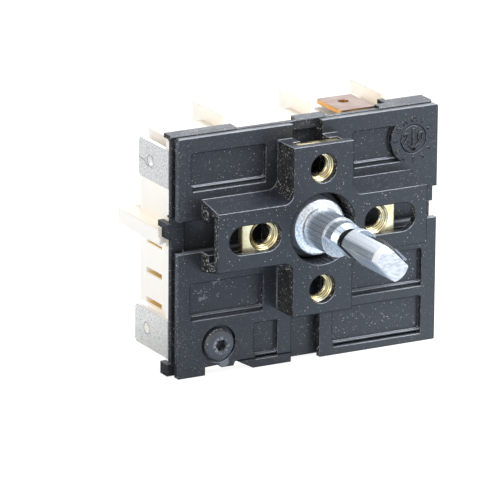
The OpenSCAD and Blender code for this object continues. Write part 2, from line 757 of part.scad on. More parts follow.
// Bowed leaf that lies on the upper flat and grips the knob
module grip_spring() {
    start = neck_end + 1.4;
    span = shaft_len - start;
    steps = 16;
    base_r = flat_r + 0.03;
    rise = [for (i = [0:steps]) let (t = i / steps)
        grip_bow * pow(sin(180 * pow(t, 1.15)), 1.6) + grip_lift * pow(t, 6)];
    under = [for (i = [0:steps]) [start + span * i / steps, base_r + rise[i]]];
    over = [for (i = [steps:-1:0]) [start + span * i / steps, base_r + grip_t + rise[i]]];
    color([0.82, 0.83, 0.85])
    rotate([0, flat_turn, 0]) translate([-grip_w / 2, 0, 0]) mirror([0, 1, 0]) rotate([90, 0, 90])
        linear_extrude(grip_w) polygon(concat(under, over));
}

// Cam outline with a notch at each quarter turn
module pole_track() {
    difference() {
        circle(cam_r, $fn = 96);
        for (a = [0:90:270]) rotate(a) translate([cam_r + 2.6, 0]) circle(2.6 + cam_notch);
    }
}

// Spiral outline that sets the follower lever: it climbs ever faster, then falls back to its start
module power_track() {
    low = cam_r - power_rise;
    polygon([for (a = [0:5:355]) let (r = low + power_rise * min(pow(a / 320, 3), (360 - a) / 40))
        [r * cos(a - 90), r * sin(a - 90)]]);
}

module cam_disc() {
    hole = drive_w / 2 + hair;
    color([0.88, 0.86, 0.8])
    difference() {
        union() {
            bar_y([0, 0], [cam_front + hair, track_front + eps], washer_d - 2);
            slab([track_front, track_front + track_w]) pole_track();
            bar_y([0, 0], [track_front + track_w - eps, power_front + eps], 2 * (cam_r - 1.6));
            slab([power_front, cam_back - hair]) power_track();
        }
        block([-hole, hole], [cam_front - 1, cam_back + 1], [-hole, hole]);
    }
}

module thrust_washer() {
    color([0.7, 0.71, 0.73])
    difference() {
        bar_y([0, 0], [washer_front, washer_front + washer_t], washer_d);
        bar_y([0, 0], [washer_front - 1, washer_front + washer_t + 1], collar_d + 4 * hair);
    }
}

module retaining_clip() {
    color([0.35, 0.36, 0.38])
    difference() {
        bar_y([0, 0], [cam_back + hair, cam_back + clip_t], 6.6);
        bar_y([0, 0], [cam_back - 1, cam_back + clip_t + 1], rear_d - 0.6 + 2 * hair);
        block([-0.95, 0.95], [cam_back - 1, cam_back + clip_t + 1], [-5, 0]);
    }
}

// Leaf with a vee that points at the cam's off notch
module detent_spring() {
    tip = -cam_r - cam_gap + 0.05;
    front = detent_x + detent_t;
    color([0.75, 0.76, 0.78])
    slab([track_front + 0.1, track_front + track_w - 0.2])
        polygon([[detent_x, -detent_half], [front, -detent_half], [front, -detent_vee], [tip, -0.2],
            [tip, 0.2], [front, detent_vee], [front, detent_half], [detent_x, detent_half],
            [detent_x, detent_vee - 0.2], [tip - detent_t, 0], [detent_x, 0.2 - detent_vee]]);
}

// Tinned terminals: an outer tab, a leg through the wall and a foot inside
module left_top_terminal() {
    color([0.75, 0.76, 0.75]) {
        side_tab(-tab_left, high_tab_z, tab_len);
        block([-tab_left + eps, upper_clamp], [leg_front, leg_back], left_top_leg);
        block([upper_root, upper_clamp], [leg_back - eps, foot_back],
            [upper_foot_top - tab_t, upper_foot_top]);
    }
}

module left_bottom_terminal() {
    rail = [snap_rail_under, snap_rail_under + tab_t];
    color([0.75, 0.76, 0.75]) {
        side_tab(-tab_left, low_tab_z, low_tab_len);
        block([-tab_left + eps, snap_riser[1]], [leg_front, leg_back], left_bottom_leg);
        block(snap_riser, [leg_front, leg_back], [rail[0], left_bottom_leg[1] - eps]);
        difference() {
            block([snap_riser[0], snap_rail_end], [leg_front, foot_back], rail);
            bar_z([snap_contact_x, blade_mid], [rail[0] - 1, rail[1] + 1], rivet_d + 0.1);
        }
    }
}

// Bare copper terminal that leaves the base at the top
module top_terminal() {
    tab_z = base_top + top_tab_rise;
    rail = [upper_rail_z, upper_rail_z + tab_t];
    color([0.85, 0.6, 0.48]) {
        translate([top_tab_x - tab_w / 2, leg_front, tab_z]) mirror([1, -1, 0])
            linear_extrude(tab_t) tab_outline(top_tab_len, top_hole_back, top_chamfer);
        block([top_tab_x - 1.75, top_tab_x + 1.75], [leg_front, leg_back], [rail[0], tab_z + eps]);
        difference() {
            block([upper_rail_end, top_tab_x + 1.75], [leg_front, foot_back], rail);
            bar_z([upper_contact_x, blade_mid], [rail[0] - 1, rail[1] + 1], rivet_d + 0.1);
        }
    }
}

module right_top_terminal() {
    color([0.75, 0.76, 0.75]) {
        side_tab(tab_right - tab_t, high_tab_z, tab_len);
        block([side_x - tab_t, tab_right - eps], [leg_front, leg_back], right_top_leg);
        block([side_x - tab_t, side_x], [leg_front, foot_back], [side_clamp, side_top]);
    }
}

module right_bottom_terminal() {
    rail = [side_rail_x, side_rail_x + tab_t];
    foot = [snap_under - tab_t, snap_under];
    color([0.75, 0.76, 0.75]) {
        side_tab(tab_right - tab_t, low_tab_z, low_tab_len);
        block([rail[0], tab_right - eps], [leg_front, leg_back], right_bottom_leg);
        block(rail, [leg_front, leg_back], [right_bottom_leg[1] - 0.1, side_contact_z + 2]);
        difference() {
            block(rail, [leg_front, foot_back], [side_contact_z - 2, side_contact_z + 2]);
            bar_x([blade_mid, side_contact_z], [rail[0] - 1, rail[1] + 1], rivet_d + 0.1);
        }
        block([snap_clamp, snap_root], [leg_front, leg_back], [foot[0], right_bottom_leg[0] + 0.1]);
        block([snap_clamp, snap_root], [leg_front, foot_back], foot);
    }
}

module upper_blade() {
    color([0.8, 0.62, 0.36])
    difference() {
        block([upper_root + 0.2, upper_end], [blade_front, blade_back], [upper_foot_top, upper_blade_top]);
        block(upper_slot, [blade_mid - 0.4, blade_mid + 0.4], [upper_foot_top - 1, upper_blade_top + 1]);
    }
}

// Insulating pads between the cam and the blades
module lifter(reach) {
    slab([blade_front, track_front + track_w - 0.1]) union() {
        translate([-1, 1]) square([2, reach - 1]);
        translate([0, 1]) circle(1);
    }
}

module upper_lifter() {
    color([0.9, 0.88, 0.82])
    translate([0, 0, cam_r + cam_gap]) lifter(upper_foot_top - cam_r - cam_gap);
}

module side_lifter() {
    color([0.9, 0.88, 0.82])
    rotate([0, 90, 0]) translate([0, 0, cam_r + cam_gap]) lifter(side_x - cam_r - cam_gap);
}

// Contact button with a soft edge, facing up
module contact() {
    color([0.86, 0.86, 0.84])
    rotate_extrude() polygon([[0, 0], [contact_d / 2, 0], [contact_d / 2, contact_t - 0.2],
        [contact_d / 2 - 0.2, contact_t], [0, contact_t]]);
}

module upper_moving_contact() {
    translate([upper_contact_x, blade_mid, upper_blade_top]) contact();
}

module upper_fixed_contact() {
    translate([upper_contact_x, blade_mid, upper_rail_z]) {
        rotate([180, 0, 0]) contact();
        color([0.86, 0.86, 0.84]) cylinder(d = rivet_d, h = tab_t);
    }
}

module side_blade() {
    color([0.8, 0.62, 0.36])
    difference() {
        block([side_x, side_out], [blade_front, blade_back], [side_end, side_top]);
        block([side_x - 1, side_out + 1], [blade_mid - 0.4, blade_mid + 0.4], side_slot);
    }
}

module side_moving_contact() {
    translate([side_out, blade_mid, side_contact_z]) rotate([0, 90, 0]) contact();
}

module side_fixed_contact() {
    translate([side_rail_x, blade_mid, side_contact_z]) {
        rotate([0, -90, 0]) contact();
        color([0.86, 0.86, 0.84]) rotate([0, 90, 0]) cylinder(d = rivet_d, h = tab_t);
    }
}

module snap_blade() {
    color([0.8, 0.62, 0.36])
    difference() {
        block([snap_end, snap_root - 0.2], [blade_front, blade_back], [snap_under, snap_z]);
        for (y = [blade_mid - 1.1, blade_mid + 0.8])
            block(snap_slot, [y, y + 0.3], [snap_under - 1, snap_z + 1]);
        block([snap_slot[0], snap_slot[0] + 0.3], [blade_mid - 1.1, blade_mid + 1.1],
            [snap_under - 1, snap_z + 1]);
    }
}

// Curved spring that throws the snap blade over its centre
module snap_spring() {
    color([0.75, 0.76, 0.78])
    slab([blade_mid - 0.5, blade_mid + 0.5]) translate([snap_spring_x, snap_z]) difference() {
        circle(snap_spring_r);
        circle(snap_spring_r - snap_spring_t);
        translate([-2 * snap_spring_r, -2 * snap_spring_r]) square([4 * snap_spring_r, 2 * snap_spring_r]);
    }
}

module snap_moving_contact() {
    translate([snap_contact_x, blade_mid, snap_z]) contact();
}

module snap_fixed_contact() {
    translate([snap_contact_x, blade_mid, snap_rail_under]) {
        rotate([180, 0, 0]) contact();
        color([0.86, 0.86, 0.84]) cylinder(d = rivet_d, h = tab_t);
    }
}

module follower_lever() {
    color([0.7, 0.71, 0.73])
    difference() {
        union() {
            slab([lever_front, lever_back]) {
                translate(pivot) circle(d = pin_d + 2.6);
                polygon([[pivot[0] + 0.5, pivot[1] + 2], [-2, nose_z - 0.1], [2, nose_z - 0.1],
                    [cal_x - 1.8, lever_low + 0.9], [lever_end, lever_low + 0.9], [lever_end, lever_low],
                    [pivot[0] + 4.6, lever_low - 0.2], [pivot[0] + 2.2, bimetal_top + 0.1],
                    [pivot[0] + 2.2, lever_foot_under], [pivot[0], lever_foot_under],
                    [pivot[0] - 1.6, pivot[1]]]);
                translate([0, nose_z]) circle(nose_r);
            }
            block([pivot[0], lever_foot_end], [blade_front, lever_back], [lever_foot_under, bimetal_under]);
            block([cal_x - 1.6, lever_end], [blade_front, lever_back], [lever_low, lever_low + 0.9]);
        }
        bar_y(pivot, [lever_front - 1, lever_back + 1], pin_d + 2 * run_gap);
        bar_z([cal_x, blade_mid], [lever_low - 1, lever_low + 2], cal_d + 0.1);
    }
}

module lever_pin() {
    color([0.6, 0.61, 0.63]) {
        bar_y(pivot, [lever_front - 1, cavity_back - 0.4], pin_d);
        bar_y(pivot, [lever_front - 1.4, lever_front - 0.2], pin_d + 1.4);
    }
}

module bimetal_strip() {
    color([0.62, 0.55, 0.45])
    difference() {
        block([bimetal_left, bimetal_left + bimetal_len], [blade_front, blade_back],
            [bimetal_under, bimetal_top]);
        bar_z([push_x, blade_mid], [bimetal_under - 1, bimetal_top + 1], 1.1);
    }
}

// Ceramic plate with its heating wire wound round it
module heater_element() {
    x = [-9, 5];
    z = [bimetal_under - 1.1, bimetal_under - 0.2];
    turns = 12;
    pitch = (x[1] - x[0] - 2) / turns;
    color([0.92, 0.9, 0.86]) block(x, [blade_front + 0.3, blade_back - 0.3], z);
    color([0.5, 0.45, 0.4])
        for (i = [0:turns - 1]) block([x[0] + 1 + i * pitch, x[0] + 1 + i * pitch + 0.4],
            [blade_front + 0.1, blade_back - 0.1], [z[0] - 0.2, bimetal_under]);
}

module push_pin() {
    color([0.95, 0.93, 0.9]) {
        bar_z([push_x, blade_mid], [push_end, bimetal_under], push_d);
        bar_z([push_x, blade_mid], [bimetal_under - eps, bimetal_top], 1);
    }
}

module calibration_screw() {
    color([0.8, 0.66, 0.35]) {
        bar_z([cal_x, blade_mid], [bimetal_top + 0.25, lever_low + 0.9], cal_d);
        bar_z([cal_x, blade_mid], [lever_low + 0.9, lever_low + 1.6], cal_d + 0.6);
    }
}

mounting_plate();
inner_cover();
base();
nut_top();
nut_bottom();
nut_left();
nut_right();
plate_screw();
shaft();
grip_spring();
cam_disc();
thrust_washer();
retaining_clip();
detent_spring();
left_top_terminal();
left_bottom_terminal();
top_terminal();
right_top_terminal();
right_bottom_terminal();
upper_blade();
upper_lifter();
upper_moving_contact();
upper_fixed_contact();
side_blade();
side_lifter();
side_moving_contact();
side_fixed_contact();
snap_blade();
snap_spring();
snap_moving_contact();
snap_fixed_contact();
follower_lever();
lever_pin();
bimetal_strip();
heater_element();
push_pin();
calibration_screw();
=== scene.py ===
# Energy regulator: finishes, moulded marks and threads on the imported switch, and its studio.
# Shapes are in metres in the switch's own frame: X right, Y back from the panel, Z up.
# Finishes give places in that frame in millimetres, and the scales of their patterns per metre.
import json
import math

import bpy
from mathutils import Matrix, Vector


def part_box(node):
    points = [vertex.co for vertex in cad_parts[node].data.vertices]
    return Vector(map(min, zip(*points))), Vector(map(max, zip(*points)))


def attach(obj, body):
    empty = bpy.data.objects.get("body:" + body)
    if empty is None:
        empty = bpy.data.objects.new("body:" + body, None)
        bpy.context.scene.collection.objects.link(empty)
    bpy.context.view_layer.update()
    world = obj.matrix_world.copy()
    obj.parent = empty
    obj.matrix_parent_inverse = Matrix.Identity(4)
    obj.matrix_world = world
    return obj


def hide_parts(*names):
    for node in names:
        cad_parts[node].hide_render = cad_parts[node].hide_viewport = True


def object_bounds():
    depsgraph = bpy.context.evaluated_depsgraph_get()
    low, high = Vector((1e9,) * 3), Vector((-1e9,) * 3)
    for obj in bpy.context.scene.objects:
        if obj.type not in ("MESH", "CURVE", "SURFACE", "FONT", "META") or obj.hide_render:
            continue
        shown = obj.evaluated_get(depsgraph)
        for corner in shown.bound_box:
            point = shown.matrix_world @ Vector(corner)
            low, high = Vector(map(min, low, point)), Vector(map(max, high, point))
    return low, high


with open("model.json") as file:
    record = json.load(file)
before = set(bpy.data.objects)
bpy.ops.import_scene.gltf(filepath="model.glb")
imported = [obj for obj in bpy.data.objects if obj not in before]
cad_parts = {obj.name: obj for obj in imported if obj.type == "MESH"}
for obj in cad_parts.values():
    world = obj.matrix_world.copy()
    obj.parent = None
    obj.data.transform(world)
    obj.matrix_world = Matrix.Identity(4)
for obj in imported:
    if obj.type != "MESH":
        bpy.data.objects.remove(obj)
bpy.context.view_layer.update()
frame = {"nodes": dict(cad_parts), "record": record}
nodes = frame["nodes"]
MM = 0.001

# Places that the finishes follow, in millimetres
PLATE_FACE = 5.4
PLATE_BACK = 6.5
PLATE_TOP = 16.3
LOW_ARM_REACH = 6.8
SEAM_Z = -21.75
CAVITY_LEFT = -21.0
CAVITY_RIGHT = 21.1
CAVITY_TOP = 13.0
CAVITY_BOTTOM = -20.0
LOW_TAB_TOP = -14.3
TAB_HOLE_BACK = 4.0
TAB_HOLE_RING = 1.1
NUT_OFFSET = 10.0
COLLAR_FACE = -1.0
STEM_END = -5.3
NECK_START = -8.5
NECK_END = -11.0
LEDGE = -12.2
TIP_START = -20.6


def toned(colour, gain):
    return [min(1.0, gain * part) for part in colour]


# Node tree of a material or of the surroundings
class Graph:
    def __init__(self, tree):
        self.tree = tree

    def join(self, value, socket):
        if isinstance(value, bpy.types.NodeSocket):
            self.tree.links.new(value, socket)
        else:
            socket.default_value = value

    def add(self, kind, inputs=None, **settings):
        node = self.tree.nodes.new(kind)
        for key, value in settings.items():
            setattr(node, key, value)
        for key, value in (inputs or {}).items():
            self.join(value, node.inputs[key])
        return node

    def math(self, operation, a, b=0.0):
        return self.add("ShaderNodeMath", {0: a, 1: b}, operation=operation).outputs[0]

    def chain(self, operation, first, *others):
        for other in others:
            first = self.math(operation, first, other)
        return first

    def times(self, *values):
        return self.chain("MULTIPLY", *values)

    def plus(self, *values):
        return self.chain("ADD", *values)

    def most(self, *values):
        return self.chain("MAXIMUM", *values)

    def minus(self, a, b):
        return self.math("SUBTRACT", a, b)

    def absolute(self, value):
        return self.math("ABSOLUTE", value)

    def length(self, a, b):
        return self.math("SQRT", self.plus(self.times(a, a), self.times(b, b)))

    # Soft step between two outputs as the value passes from low to high. Low may be the larger.
    def ramp(self, value, low, high, out_low=0.0, out_high=1.0):
        node = self.add("ShaderNodeMapRange", {"Value": value, "From Min": low, "From Max": high,
                        "To Min": out_low, "To Max": out_high}, interpolation_type="SMOOTHSTEP")
        return node.outputs["Result"]

    # Rises over the first pair of values and falls again over the second
    def between(self, value, rise, fall):
        return self.times(self.ramp(value, *rise), self.ramp(value, fall[1], fall[0]))

    def parts_of(self, vector):
        parts = self.add("ShaderNodeSeparateXYZ", {"Vector": vector})
        return parts.outputs["X"], parts.outputs["Y"], parts.outputs["Z"]


# Node graph of one finish. Every pattern reads Object coordinates.
class Finish(Graph):
    def __init__(self, name, metal=0.0, rough=0.5):
        self.material = bpy.data.materials.new(name)
        self.material.use_nodes = True
        super().__init__(self.material.node_tree)
        self.shader = self.tree.nodes["Principled BSDF"]
        self.place = self.add("ShaderNodeTexCoord").outputs["Object"]
        self.set("Metallic", metal)
        self.set("Roughness", rough)

    def set(self, socket, value):
        self.join(value, self.shader.inputs[socket])

    def stretched(self, scale):
        return self.add("ShaderNodeMapping", {"Vector": self.place, "Scale": scale}).outputs[0]

    def noise(self, scale, detail, where=None, rough=0.5):
        return self.add("ShaderNodeTexNoise", {"Vector": where or self.place, "Scale": scale,
                        "Detail": detail, "Roughness": rough}).outputs[0]

    def blend(self, amount, a, b):
        node = self.add("ShaderNodeMix", data_type="RGBA")
        self.join(amount, node.inputs["Factor"])
        self.join(a if isinstance(a, bpy.types.NodeSocket) else (*a, 1.0), node.inputs["A"])
        self.join(b if isinstance(b, bpy.types.NodeSocket) else (*b, 1.0), node.inputs["B"])
        return node.outputs["Result"]

    # Place on the switch, in millimetres
    def axes(self):
        scaled = self.add("ShaderNodeVectorMath", {0: self.place, "Scale": 1 / MM}, operation="SCALE")
        return self.parts_of(scaled.outputs[0])

    def facing(self):
        return self.parts_of(self.add("ShaderNodeNewGeometry").outputs["True Normal"])

    # Soft round patch as seen from the front, placed and sized in millimetres
    def near(self, x0, z0, reach):
        x, _, z = self.axes()
        return self.ramp(self.length(self.minus(x, x0), self.minus(z, z0)), reach, 0.6 * reach)

    # Soft edges of a radius in millimetres: a rounded normal, and how near a point is to an edge
    def soft_edges(self, radius):
        rounded = self.add("ShaderNodeBevel", {"Radius": radius * MM}, samples=8).outputs[0]
        flat = self.add("ShaderNodeNewGeometry").outputs["True Normal"]
        alike = self.add("ShaderNodeVectorMath", {0: rounded, 1: flat}, operation="DOT_PRODUCT")
        return rounded, self.ramp(alike.outputs["Value"], 0.995, 0.86)

    # Fine relief of a depth in millimetres
    def relief(self, height, depth, strength, normal=None):
        inputs = {"Height": height, "Distance": depth * MM, "Strength": strength}
        if normal is not None:
            inputs["Normal"] = normal
        self.set("Normal", self.add("ShaderNodeBump", inputs).outputs[0])

    # Sparse specks: a share of the cells holds one, each of its own size and brightness
    def specks(self, scale, share, size):
        cells = self.add("ShaderNodeTexVoronoi", {"Vector": self.place, "Scale": scale})
        chance = self.add("ShaderNodeSeparateColor", {"Color": cells.outputs["Color"]}).outputs
        kept = self.math("LESS_THAN", chance[0], share)
        reach = self.times(self.ramp(chance[1], 0.0, 1.0, 0.35, 1.0), size)
        inside = self.ramp(cells.outputs["Distance"], self.times(reach, 1.15), self.times(reach, 0.7))
        bright = self.ramp(chance[2], 0.0, 1.0, 0.2, 1.0)
        return self.times(kept, inside, bright)


# Glass-filled black moulding. Its look is made of these values:
# share of the cells that hold a fleck, lines for the strength of painted highlight lines on edges,
# flank_shade for the painted shade on the left flanks, flecked for the extra flecks on them,
# steps for the painted light on upward steps, and notch for the gain of painted light where
# the cover shows through the upper arm's notch.
PLATE_LOOK = {
    "colour": (0.0185, 0.0197, 0.023),
    "rough": 0.34,
    "share": 0.075,
    "lines": 1.0,
    "flank_shade": 0.55,
    "flecked": 4.5,
    "steps": 0.9,
    "notch": None,
}
COVER_LOOK = {
    "colour": (0.018, 0.0192, 0.0218),
    "rough": 0.36,
    "share": 0.07,
    "lines": 0.35,
    "flank_shade": 0.2,
    "flecked": 0.4,
    "steps": 0.0,
    "notch": 2.1,
}
UPPER_SHEEN_TINT = (1.3, 1.42, 1.7)
FLECK = (0.52, 0.49, 0.43)
FLANK_FLECK = (1.0, 0.94, 0.82)
FOOT_HIGHLIGHT_AND_PATCH = (0.2, 0.21, 0.22)
SCUFFED = (0.16, 0.165, 0.175)
RUBBED_AND_LIT_EDGE = (0.12, 0.125, 0.14)
LEFT_EDGE_HIGHLIGHT_AND_WEAR = (0.26, 0.26, 0.26)
UPPER_EDGE_HIGHLIGHT = (0.5, 0.52, 0.57)
LIT_STEP = (0.22, 0.23, 0.26)
SHADED_STEP = (0.006, 0.006, 0.006)
EDGE_SHADE_AND_SEAM = (0.003, 0.003, 0.003)


class Moulding(Finish):
    def __init__(self, name, look):
        super().__init__(name)
        self.look = look
        self.x, self.y, self.z = self.axes()
        self.nx, self.ny, self.nz = self.facing()
        self.cloudy = self.noise(260, 4)
        self.torn = self.noise(1500, 4)
        self.beside = self.ramp(self.nx, -0.5, -0.8)
        self.low_arm = self.times(self.beside, self.ramp(self.z, -6, -8),
                                  self.ramp(self.absolute(self.x), LOW_ARM_REACH + 0.2, LOW_ARM_REACH))
        self.colour_body()
        self.add_flecks()
        self.add_wear()
        self.draw_edges()

    def paint(self, amount, colour):
        self.body = self.blend(amount, self.body, colour)

    def colour_body(self):
        colour = self.look["colour"]
        flank_shade = self.look["flank_shade"]
        self.body = self.blend(self.cloudy, toned(colour, 0.86), toned(colour, 1.14))
        # Left flanks painted darker, a painted shade from the weak light on that side; the low arm's left
        # flank darker still
        self.paint(self.beside, toned(colour, flank_shade))
        self.paint(self.low_arm, toned(colour, 0.5 * flank_shade))
        # Upper faces painted lighter and bluer: a painted reflection of the bright backdrop
        upper = [part * tint for part, tint in zip(colour, UPPER_SHEEN_TINT)]
        self.paint(self.ramp(self.nz, 0.5, 0.8, 0.0, 0.9), upper)

    # Left flanks, with one value behind the plate's face and another before it
    def along_flanks(self, behind, before):
        return self.times(self.beside, self.ramp(self.y, PLATE_FACE - 0.1, PLATE_FACE - 0.5, behind, before))

    # Flecks lie thickest on the flanks, on upper faces, on the left rim and in the low left corner
    def fleck_weight(self):
        flecked = self.look["flecked"]
        side = self.along_flanks(0.5 * flecked, flecked)
        upper = self.ramp(self.nz, 0.5, 0.8, 0.0, 1.4)
        rim = self.times(self.ramp(self.x, -21.6, -22.4, 0.0, 1.6), self.ramp(self.ny, -0.5, -0.8))
        corner = self.times(self.ramp(self.x, -9, -13), self.ramp(self.z, -13, -17))
        patchy = self.ramp(self.noise(170, 3), 0.4, 0.64, 0.6, 1.1)
        return self.times(self.plus(side, upper, rim, corner, 1.0), patchy)

    def add_flecks(self):
        share = self.look["share"]
        flecked = self.look["flecked"]
        weight = self.fleck_weight()
        # Where the cover shows through the upper arm's notch it is painted lighter, a painted light, and
        # holds more flecks
        if self.look["notch"]:
            notch = self.near(0.4, 12.9, 4)
            self.paint(notch, toned(self.look["colour"], self.look["notch"]))
            weight = self.plus(weight, self.times(notch, 4.0))
        small = self.specks(5600, self.times(weight, share), 0.46)
        large = self.specks(3000, self.times(weight, 0.2 * share), 0.3)
        faint = self.specks(6400, self.times(weight, 2.2 * share), 0.5)
        bold = self.specks(3400, self.along_flanks(0.02 * flecked, 0.11 * flecked), 0.44)
        fleck = self.blend(self.beside, FLECK, FLANK_FLECK)
        self.paint(self.times(faint, 0.2), fleck)
        self.paint(self.most(small, large, bold), fleck)

    # Painted highlight line at the low arm's foot, then a scuff, a scrape and a lighter spot on the left
    def add_wear(self):
        foot = self.between(self.y, (PLATE_FACE - 0.4, PLATE_FACE - 0.25),
                            (PLATE_FACE + 0.1, PLATE_FACE + 0.2))
        self.paint(self.times(self.low_arm, foot, 0.8), FOOT_HIGHLIGHT_AND_PATCH)
        scuff = self.times(self.near(-18.5, -10.1, 1.3), self.ramp(self.torn, 0.48, 0.62))
        scrape = self.times(self.near(-15.9, -8.3, 1.1), self.ramp(self.torn, 0.5, 0.66))
        self.paint(self.most(scuff, scrape), SCUFFED)
        self.paint(self.times(self.near(-14.9, -21.6, 1.1), 0.8), FOOT_HIGHLIGHT_AND_PATCH)

    # Dark seam along the plate's lower edge
    def seam(self):
        off = self.absolute(self.minus(self.z, SEAM_Z))
        return self.times(self.ramp(off, 0.17, 0.08), self.between(self.x, (-12.7, -12.3), (-2.7, -2.4)))

    # How far narrow edges lean up and to the left, and wider ones down and to the right
    def leaning(self, edge, rounded, wide_edge, wide):
        x, _, z = self.parts_of(rounded)
        wide_x, _, wide_z = self.parts_of(wide)
        up = self.times(edge, self.ramp(z, 0.1, 0.36))
        left = self.times(edge, self.ramp(x, -0.15, -0.4))
        down = self.times(wide_edge, self.ramp(wide_z, -0.05, -0.22))
        right = self.times(wide_edge, self.ramp(wide_x, 0.12, 0.35))
        return up, left, down, right

    # Painted highlight lines on edges that lean up or left, painted shade lines where they lean down or right
    def draw_edges(self):
        lines = self.look["lines"]
        rounded, edge = self.soft_edges(0.24)
        wide, wide_edge = self.soft_edges(0.36)
        up, left, down, right = self.leaning(edge, rounded, wide_edge, wide)
        strong = self.ramp(self.near(2, 15.5, 7), 0.0, 1.0, lines, 1.0)
        quiet = self.most(self.near(19.5, 11, 6), self.near(19.0, 5.3, 2.2))
        up = self.times(up, strong, self.ramp(quiet, 0.0, 1.0, 1.0, 0.2))
        left = self.times(left, self.ramp(self.y, PLATE_FACE + 0.1, PLATE_FACE + 0.25, lines, 0.0))
        # All edges lighter in patches: partly rubbed wear, partly painted highlight
        self.paint(self.times(edge, self.ramp(self.torn, 0.45, 0.62, 0.02, 0.5)), RUBBED_AND_LIT_EDGE)
        self.paint(self.times(left, self.ramp(self.torn, 0.5, 0.6, 0.1, 0.8)), LEFT_EDGE_HIGHLIGHT_AND_WEAR)
        self.paint(self.times(up, self.ramp(self.torn, 0.3, 0.55, 0.5, 1.0)), UPPER_EDGE_HIGHLIGHT)
        self.light_steps()
        dark = self.most(down, self.times(right, 0.9), self.seam())
        self.set("Base Color", self.blend(self.times(dark, 0.95), self.body, EDGE_SHADE_AND_SEAM))
        self.shade(dark, rounded)

    # Upward steps behind the plate's face catch the light, but its upper edge only near the front
    def light_steps(self):
        step = self.times(self.ramp(self.nz, 0.5, 0.8), self.ramp(self.y, PLATE_FACE - 0.1, PLATE_FACE),
                          self.ramp(self.y, PLATE_BACK + 0.1, PLATE_BACK, 0.0, self.look["steps"]))
        shaded = self.times(self.ramp(self.z, PLATE_TOP - 1.3, PLATE_TOP - 0.9),
                            self.ramp(self.y, PLATE_FACE + 0.35, PLATE_FACE + 0.55), step)
        self.paint(step, LIT_STEP)
        self.paint(shaded, SHADED_STEP)

    def shade(self, dark, rounded):
        rough = self.look["rough"]
        rough = self.ramp(self.cloudy, 0.3, 0.7, rough - 0.04, rough + 0.06)
        self.set("Roughness", self.plus(rough, self.times(dark, 0.4)))
        dull = self.most(dark, self.times(self.beside, 1.0 - self.look["flank_shade"]))
        self.set("Specular IOR Level", self.ramp(dull, 0.0, 1.0, 0.5, 0.1))
        self.relief(self.noise(4200, 3, rough=0.6), 0.012, 0.45, rounded)


# How far the base's inside shows: the cavity and the sills of the left vents
def seen_inside(finish):
    x, y, z = finish.axes()
    _, ny, nz = finish.facing()
    cavity = finish.times(finish.ramp(x, CAVITY_LEFT - 0.1, CAVITY_LEFT),
                          finish.ramp(x, CAVITY_RIGHT + 0.1, CAVITY_RIGHT),
                          finish.ramp(z, CAVITY_TOP + 0.05, CAVITY_TOP - 0.05),
                          finish.ramp(z, CAVITY_BOTTOM - 0.05, CAVITY_BOTTOM + 0.05))
    sill = finish.times(finish.ramp(nz, 0.5, 0.8),
                        finish.between(x, (-22.4, -22.25), (CAVITY_LEFT, CAVITY_LEFT + 0.1)),
                        finish.ramp(finish.absolute(z), 15.5, 15.3),
                        finish.ramp(z, CAVITY_TOP, CAVITY_TOP - 0.1))
    vents = finish.most(finish.ramp(z, LOW_TAB_TOP - 0.3, LOW_TAB_TOP - 0.1), finish.ramp(x, -19, -18))
    depth = finish.between(y, (9.0, 9.2), (18.6, 18.75))
    return finish.times(finish.most(cavity, sill), depth, finish.ramp(ny, -0.7, -0.5), vents)


# Cream moulding, painted a warm tan shade inside. A faint painted glow stands for light passing through it.
def cream_moulding():
    finish = Finish("cream_moulding")
    x, y, z = finish.axes()
    _, ny, nz = finish.facing()
    inside = seen_inside(finish)
    cream = finish.blend(finish.noise(90, 3), (0.9, 0.825, 0.715), (0.935, 0.87, 0.77))
    # Painted shade inside, darker towards the front
    warm_shade = finish.blend(finish.ramp(y, 12, 18.5), (0.52, 0.34, 0.1), (0.64, 0.45, 0.18))
    tone = finish.blend(inside, cream, warm_shade)
    finish.set("Base Color", tone)
    # The painted glow lifts all but upper and rear faces, and more the left shelf's upper faces, the inside
    # and the low tab's recess
    recess = finish.times(finish.ramp(z, LOW_TAB_TOP - 0.1, LOW_TAB_TOP - 0.3), finish.ramp(x, -20, -21))
    shelf_glow = finish.ramp(x, -21.5, -22.5, 0.0, 0.32)
    face_glow = finish.ramp(nz, 0.4, 0.8, 0.09, shelf_glow)
    glow = finish.plus(finish.ramp(inside, 0.0, 1.0, face_glow, 0.2), finish.times(recess, 0.25))
    finish.set("Emission Color", tone)
    finish.set("Emission Strength", finish.times(glow, finish.ramp(ny, 0.3, 0.6, 1.0, 0.0)))
    finish.relief(finish.noise(2600, 3), 0.008, 0.4, finish.soft_edges(0.2)[0])
    return finish.material


# Dark line round the hole of a left tab
def hole_ring(finish, node):
    low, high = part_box(node)
    _, y, z = finish.axes()
    dy = finish.minus(y, high.y / MM - TAB_HOLE_BACK)
    dz = finish.minus(z, (low.z + high.z) / 2 / MM)
    return finish.ramp(finish.length(dy, dz), TAB_HOLE_RING, TAB_HOLE_RING - 0.1)
